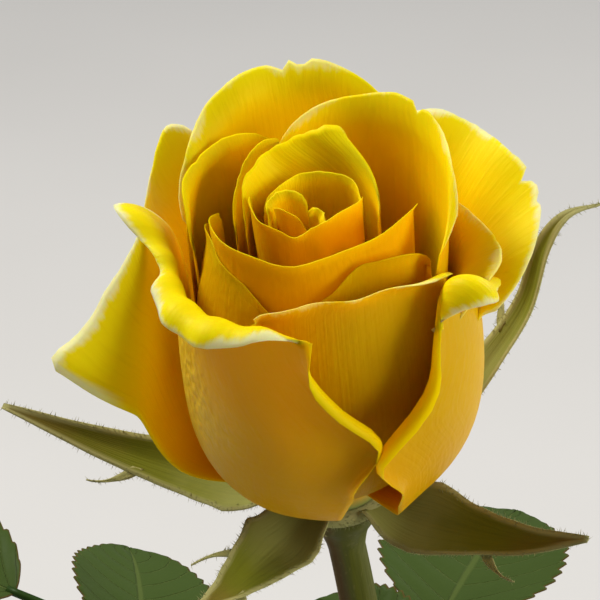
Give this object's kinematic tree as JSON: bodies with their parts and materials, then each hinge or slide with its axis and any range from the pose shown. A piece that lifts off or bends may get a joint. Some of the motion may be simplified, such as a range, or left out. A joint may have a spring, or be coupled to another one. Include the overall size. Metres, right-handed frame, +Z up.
{
  "type": "rose in vase",
  "caption": "Cut rose with a fully opened bloom, sepals, thorny stem and compound leaves, standing in a narrow-necked ceramic bud vase with water.",
  "frame": {"origin": "centre of the vase's flat underside, on the surface that it stands on", "axes": "+Z up along the vase's axis; the bloom leans a little towards -Y and -X, and -Y is the side that the picture shows"},
  "size_m": [0.1765, 0.1825, 0.3624],
  "materials": {
    "glaze": "satin",
    "water": "clear",
    "stem": "satin",
    "sepals": "matte",
    "leaf": "satin",
    "petals": "satin"
  },
  "bodies": {
    "root": {"vase": "glaze", "water": "water", "stem": "stem", "sepals": "sepals", "leaf_1": "leaf", "leaf_2": "leaf", "leaf_3": "leaf", "bloom": "petals"}
  },
  "joints": []
}
